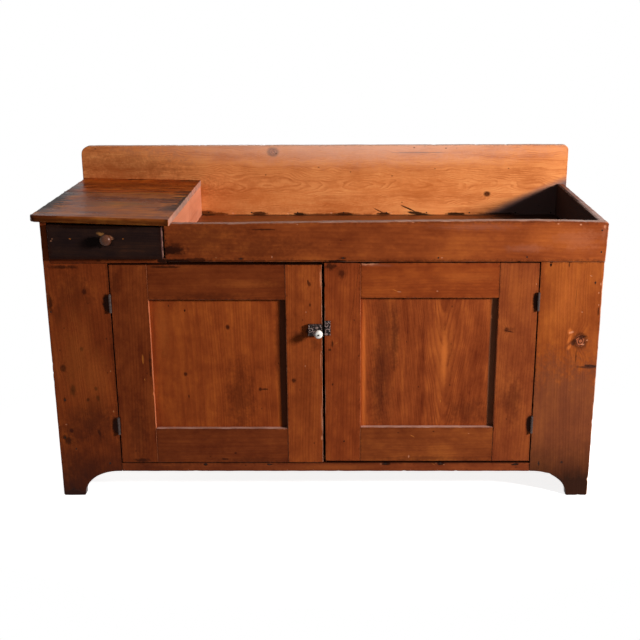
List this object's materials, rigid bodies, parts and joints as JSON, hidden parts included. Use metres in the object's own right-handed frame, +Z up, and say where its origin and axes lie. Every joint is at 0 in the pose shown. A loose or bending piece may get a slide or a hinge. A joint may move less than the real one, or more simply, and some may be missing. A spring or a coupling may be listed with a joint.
{
  "type": "dry sink cabinet",
  "caption": "Long pine dry sink: open sink well with a splash board, worktop over a drawer, and a cupboard with framed doors, butt hinges and a knob latch.",
  "frame": {"origin": "on the floor, at the middle of the cabinet's overall length and depth", "axes": "+X along the front to the right as seen from the front, +Y from the front to the back, +Z up"},
  "size_m": [1.562, 0.6424, 0.939],
  "materials": {
    "pine_shellacked": "old shellac, worn and darkened",
    "pine_honey": "old shellac, honey coloured",
    "pine_worktop": "worn and stained top",
    "pine_unfinished": "bare aged wood",
    "pine_blackened": "blackened by use",
    "turned_knob_wood": "turned and handled",
    "hinge_iron": "dark, lightly rusted",
    "latch_iron": "dark cast relief",
    "porcelain": "white glaze"
  },
  "bodies": {
    "case": {"apron": "pine_shellacked", "back_board_1": "pine_unfinished", "back_board_2": "pine_unfinished", "back_board_3": "pine_unfinished", "back_board_4": "pine_unfinished", "back_board_5": "pine_unfinished", "back_board_6": "pine_unfinished", "bottom_rail": "pine_shellacked", "cupboard_floor": "pine_unfinished", "drawer_rail": "pine_blackened", "drawer_stop": "pine_unfinished", "hinge_left_lower_case_leaf": "hinge_iron", "hinge_left_lower_pin": "hinge_iron", "hinge_left_upper_case_leaf": "hinge_iron", "hinge_left_upper_pin": "hinge_iron", "hinge_right_lower_case_leaf": "hinge_iron", "hinge_right_lower_pin": "hinge_iron", "hinge_right_upper_case_leaf": "hinge_iron", "hinge_right_upper_pin": "hinge_iron", "shelf": "pine_unfinished", "shelf_cleat_left": "pine_unfinished", "shelf_cleat_right": "pine_unfinished", "side_panel_left": "pine_shellacked", "side_panel_right": "pine_shellacked", "sink_divider": "pine_honey", "sink_floor_front": "pine_unfinished", "sink_floor_rear": "pine_unfinished", "splash_board": "pine_honey", "stile_left": "pine_shellacked", "stile_right": "pine_shellacked", "worktop_front": "pine_worktop", "worktop_rear": "pine_worktop"},
    "door_left": {"door_left_hinge_stile": "pine_shellacked", "door_left_lock_stile": "pine_shellacked", "door_left_bottom_rail": "pine_shellacked", "door_left_top_rail": "pine_shellacked", "door_left_panel": "pine_shellacked", "hinge_left_lower_door_leaf": "hinge_iron", "hinge_left_upper_door_leaf": "hinge_iron", "latch_case": "latch_iron"},
    "door_right": {"door_right_hinge_stile": "pine_shellacked", "door_right_lock_stile": "pine_shellacked", "door_right_bottom_rail": "pine_shellacked", "door_right_top_rail": "pine_shellacked", "door_right_panel": "pine_shellacked", "hinge_right_lower_door_leaf": "hinge_iron", "hinge_right_upper_door_leaf": "hinge_iron", "latch_keeper": "latch_iron", "door_bolt_plate": "hinge_iron"},
    "drawer": {"drawer_front": "pine_blackened", "drawer_side_left": "pine_unfinished", "drawer_side_right": "pine_unfinished", "drawer_back": "pine_unfinished", "drawer_bottom": "pine_unfinished", "drawer_knob": "turned_knob_wood"},
    "latch_turner": {"latch_spindle": "latch_iron", "latch_knob": "porcelain"},
    "latch_bolt": {"latch_bolt": "latch_iron"},
    "door_bolt": {"door_bolt_rod": "hinge_iron"}
  },
  "joints": [
    {"name": "door_left_swing", "type": "hinge", "parent": "case", "child": "door_left", "pos_m": [-0.5763, -0.28005, 0.40225], "axis": [0, 0, -1], "range_deg": [0, 175]},
    {"name": "door_right_swing", "type": "hinge", "parent": "case", "child": "door_right", "pos_m": [0.5978, -0.28005, 0.40725], "axis": [0, 0, 1], "range_deg": [0, 175]},
    {"name": "drawer_slide", "type": "slide", "parent": "case", "child": "drawer", "axis": [0, -1, 0], "range_m": [-0.015, 0.4]},
    {"name": "latch_turn", "type": "hinge", "parent": "door_left", "child": "latch_turner", "pos_m": [-0.00545, -0.28, 0.50499], "axis": [0, 1, 0], "range_deg": [0, 60]},
    {"name": "latch_bolt_slide", "type": "slide", "parent": "door_left", "child": "latch_bolt", "axis": [1, 0, 0], "range_m": [0, 0.0095]},
    {"name": "door_bolt_slide", "type": "slide", "parent": "door_right", "child": "door_bolt", "axis": [0, 0, 1], "range_m": [0, 0.0115]}
  ],
  "couplings": [
    {"joint": "latch_bolt_slide", "follows": "latch_turn", "m_per_rad": 0.0089763}
  ]
}
